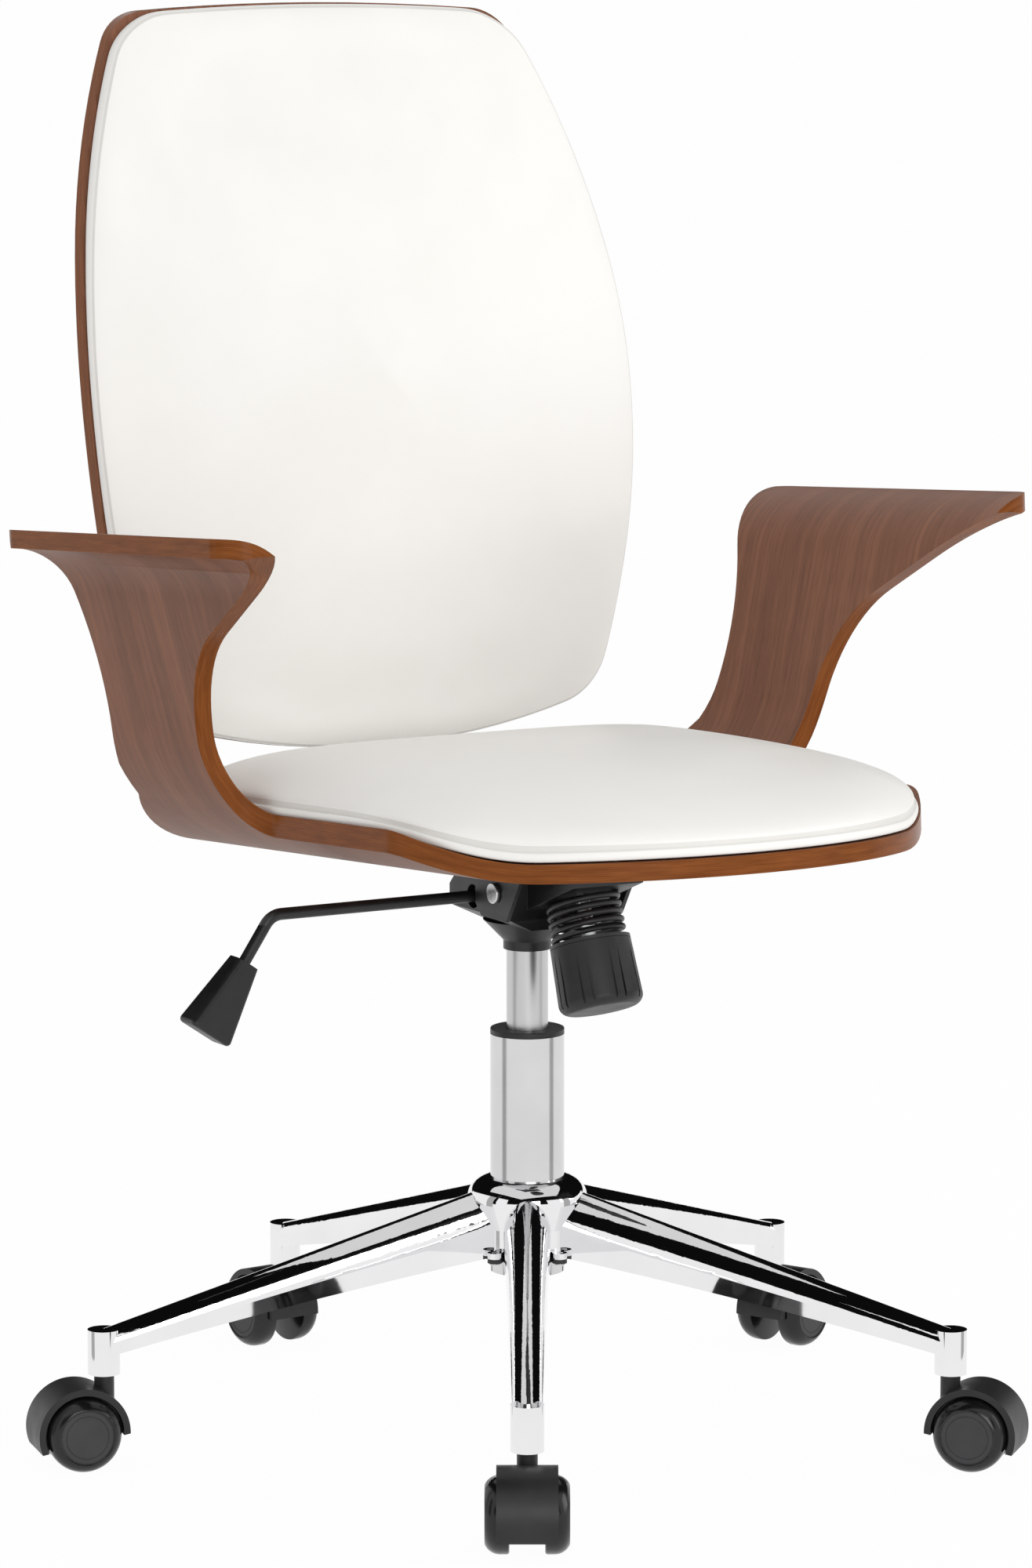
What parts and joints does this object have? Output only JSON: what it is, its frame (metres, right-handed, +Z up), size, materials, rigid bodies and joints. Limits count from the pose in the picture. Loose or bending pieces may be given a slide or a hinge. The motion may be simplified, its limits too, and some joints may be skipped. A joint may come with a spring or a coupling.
{
  "type": "swivel desk chair",
  "caption": "Swivel desk chair with a bent walnut-ply seat shell and armrests, padded seat and back, sprung tilt, gas height lift and a chromed caster base.",
  "frame": {"origin": "on the floor under the column axis", "axes": "+Z up, front of the chair towards -Y, sitter's left towards +X"},
  "size_m": [0.6636, 0.6528, 0.9585],
  "materials": {
    "chrome": "mirror polished chrome plate",
    "satin_steel": "satin ground",
    "zinc": "bright zinc plate",
    "black_steel": "semi-matte black powder coat",
    "black_plastic": "fine-grained moulded",
    "wheel_plastic": "moulded, glossy rim and matte disc",
    "rubber": "plain",
    "walnut_ply": "satin lacquered walnut veneer, edges lacquered",
    "white_leather": "smooth soft sewn cover"
  },
  "bodies": {
    "base": {"base_hub": "chrome", "leg_1": "chrome", "leg_2": "chrome", "leg_3": "chrome", "leg_4": "chrome", "leg_5": "chrome", "hub_plate": "black_steel", "hub_rivets": "zinc", "column_tube": "chrome", "column_bush": "black_plastic", "bearing_race_lower": "zinc", "bearing_balls": "zinc", "caster_stems": "zinc"},
    "spindle": {"piston_rod": "satin_steel", "bearing_race_upper": "zinc", "rod_clip": "zinc", "rubber_buffer": "rubber"},
    "lift_head": {"gas_cylinder": "satin_steel", "mechanism_housing": "black_steel", "pivot_pin": "zinc", "tension_spring": "black_steel"},
    "release_pin": {"valve_pin": "zinc"},
    "lever": {"lever_bush": "black_plastic", "lever_rod": "black_steel", "lever_grip": "black_plastic"},
    "seat": {"seat_plate": "black_steel", "seat_screws": "zinc", "bracket_screws": "zinc", "seat_inserts": "zinc", "seat_shell": "walnut_ply", "seat_cushion": "white_leather", "tension_bolt": "zinc", "spring_washer": "black_steel", "back_bracket": "black_steel", "back_screws": "zinc", "back_inserts": "zinc", "back_shell": "walnut_ply", "back_cushion": "white_leather"},
    "knob": {"tension_knob": "black_plastic"},
    "caster_1": {"caster_1_hood": "black_plastic", "caster_1_axle": "zinc"},
    "caster_1_wheel_left": {"caster_1_wheel_left": "wheel_plastic"},
    "caster_1_wheel_right": {"caster_1_wheel_right": "wheel_plastic"},
    "caster_2": {"caster_2_hood": "black_plastic", "caster_2_axle": "zinc"},
    "caster_2_wheel_left": {"caster_2_wheel_left": "wheel_plastic"},
    "caster_2_wheel_right": {"caster_2_wheel_right": "wheel_plastic"},
    "caster_3": {"caster_3_hood": "black_plastic", "caster_3_axle": "zinc"},
    "caster_3_wheel_left": {"caster_3_wheel_left": "wheel_plastic"},
    "caster_3_wheel_right": {"caster_3_wheel_right": "wheel_plastic"},
    "caster_4": {"caster_4_hood": "black_plastic", "caster_4_axle": "zinc"},
    "caster_4_wheel_left": {"caster_4_wheel_left": "wheel_plastic"},
    "caster_4_wheel_right": {"caster_4_wheel_right": "wheel_plastic"},
    "caster_5": {"caster_5_hood": "black_plastic", "caster_5_axle": "zinc"},
    "caster_5_wheel_left": {"caster_5_wheel_left": "wheel_plastic"},
    "caster_5_wheel_right": {"caster_5_wheel_right": "wheel_plastic"}
  },
  "joints": [
    {"name": "seat_swivel", "type": "hinge", "parent": "base", "child": "spindle", "pos_m": [0, 0, 0.1115], "axis": [0, 0, 1], "continuous": true},
    {"name": "height_lift", "type": "slide", "parent": "spindle", "child": "lift_head", "axis": [0, 0, 1], "range_m": [0, 0.09]},
    {"name": "lever_lift", "type": "hinge", "parent": "lift_head", "child": "lever", "pos_m": [-0.024, 0, 0.371], "axis": [0, 1, 0], "range_deg": [0, 6]},
    {"name": "valve_press", "type": "slide", "parent": "lift_head", "child": "release_pin", "axis": [0, 0, 1], "range_m": [-0.005, 0]},
    {"name": "seat_tilt", "type": "hinge", "parent": "lift_head", "child": "seat", "pos_m": [0, -0.0364, 0.3785], "axis": [-1, 0, 0], "range_deg": [0, 6], "stiffness_Nm_per_rad": 150, "springref_deg": -14.32, "deforming": ["tension_spring"]},
    {"name": "knob_turn", "type": "hinge", "parent": "seat", "child": "knob", "pos_m": [0, -0.0864, 0.33931], "axis": [0, -0.3551, -0.9348], "continuous": true},
    {"name": "caster_1_swivel", "type": "hinge", "parent": "base", "child": "caster_1", "pos_m": [-0.14775, -0.25591, 0.06], "axis": [0, 0, 1], "continuous": true},
    {"name": "caster_1_roll_left", "type": "hinge", "parent": "caster_1", "child": "caster_1_wheel_left", "pos_m": [-0.15675, -0.2715, 0.025], "axis": [-0.866, 0.5, 0], "continuous": true},
    {"name": "caster_1_roll_right", "type": "hinge", "parent": "caster_1", "child": "caster_1_wheel_right", "pos_m": [-0.15675, -0.2715, 0.025], "axis": [-0.866, 0.5, 0], "continuous": true},
    {"name": "caster_2_swivel", "type": "hinge", "parent": "base", "child": "caster_2", "pos_m": [0.19773, -0.2196, 0.06], "axis": [0, 0, 1], "continuous": true},
    {"name": "caster_2_roll_left", "type": "hinge", "parent": "caster_2", "child": "caster_2_wheel_left", "pos_m": [0.20977, -0.23298, 0.025], "axis": [-0.7431, -0.6691, 0], "continuous": true},
    {"name": "caster_2_roll_right", "type": "hinge", "parent": "caster_2", "child": "caster_2_wheel_right", "pos_m": [0.20977, -0.23298, 0.025], "axis": [-0.7431, -0.6691, 0], "continuous": true},
    {"name": "caster_3_swivel", "type": "hinge", "parent": "base", "child": "caster_3", "pos_m": [0.26995, 0.12019, 0.06], "axis": [0, 0, 1], "continuous": true},
    {"name": "caster_3_roll_left", "type": "hinge", "parent": "caster_3", "child": "caster_3_wheel_left", "pos_m": [0.2864, 0.12751, 0.025], "axis": [0.4067, -0.9135, 0], "continuous": true},
    {"name": "caster_3_roll_right", "type": "hinge", "parent": "caster_3", "child": "caster_3_wheel_right", "pos_m": [0.2864, 0.12751, 0.025], "axis": [0.4067, -0.9135, 0], "continuous": true},
    {"name": "caster_4_swivel", "type": "hinge", "parent": "base", "child": "caster_4", "pos_m": [-0.03089, 0.29388, 0.06], "axis": [0, 0, 1], "continuous": true},
    {"name": "caster_4_roll_left", "type": "hinge", "parent": "caster_4", "child": "caster_4_wheel_left", "pos_m": [-0.03277, 0.31178, 0.025], "axis": [0.9945, 0.1045, 0], "continuous": true},
    {"name": "caster_4_roll_right", "type": "hinge", "parent": "caster_4", "child": "caster_4_wheel_right", "pos_m": [-0.03277, 0.31178, 0.025], "axis": [0.9945, 0.1045, 0], "continuous": true},
    {"name": "caster_5_swivel", "type": "hinge", "parent": "base", "child": "caster_5", "pos_m": [-0.28904, 0.06144, 0.06], "axis": [0, 0, 1], "continuous": true},
    {"name": "caster_5_roll_left", "type": "hinge", "parent": "caster_5", "child": "caster_5_wheel_left", "pos_m": [-0.30665, 0.06518, 0.025], "axis": [0.2079, 0.9781, 0], "continuous": true},
    {"name": "caster_5_roll_right", "type": "hinge", "parent": "caster_5", "child": "caster_5_wheel_right", "pos_m": [-0.30665, 0.06518, 0.025], "axis": [0.2079, 0.9781, 0], "continuous": true}
  ],
  "couplings": [
    {"joint": "valve_press", "follows": "lever_lift", "m_per_rad": -0.028}
  ]
}
